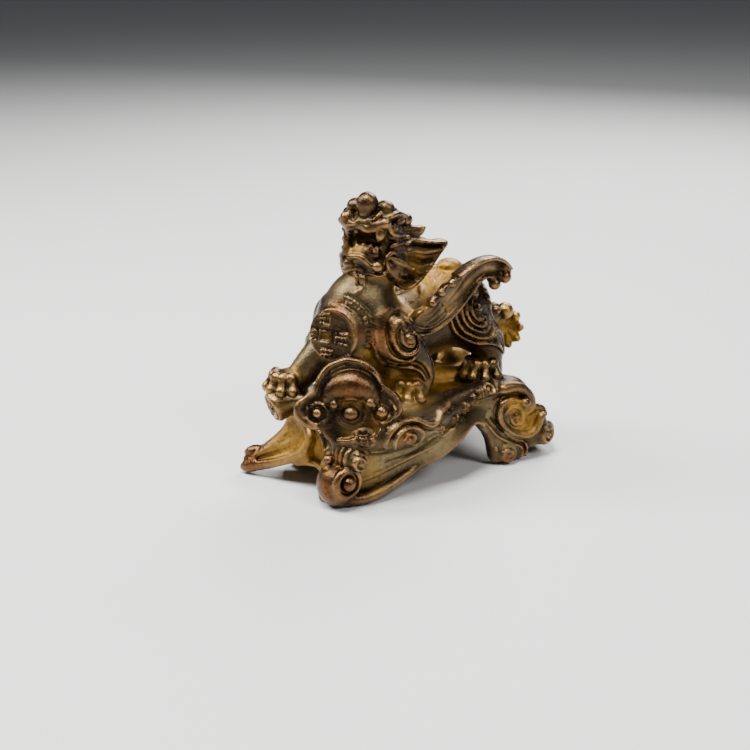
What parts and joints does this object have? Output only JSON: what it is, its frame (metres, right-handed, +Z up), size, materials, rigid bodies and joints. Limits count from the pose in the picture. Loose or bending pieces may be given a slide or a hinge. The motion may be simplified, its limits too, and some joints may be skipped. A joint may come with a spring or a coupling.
{
  "type": "brass pixiu statue",
  "caption": "Small cast brass pixiu, a winged lion-dragon with a coin on its chest, striding over a ruyi sceptre whose scrolls make its arched base.",
  "frame": {"origin": "middle of the footprint's bounding box, on the plane that the feet rest on", "axes": "+Z up, -Y is the way the beast walks, +X is the beast's left side, the side with the sceptre's head and stem"},
  "size_m": [0.0368, 0.0633, 0.059],
  "materials": {
    "aged_brass": "aged cast brass: dark brown patina, rubbed bright on the edges, ochre dirt in the hollows"
  },
  "bodies": {
    "root": {"pixiu_statue": "aged_brass"}
  },
  "joints": []
}
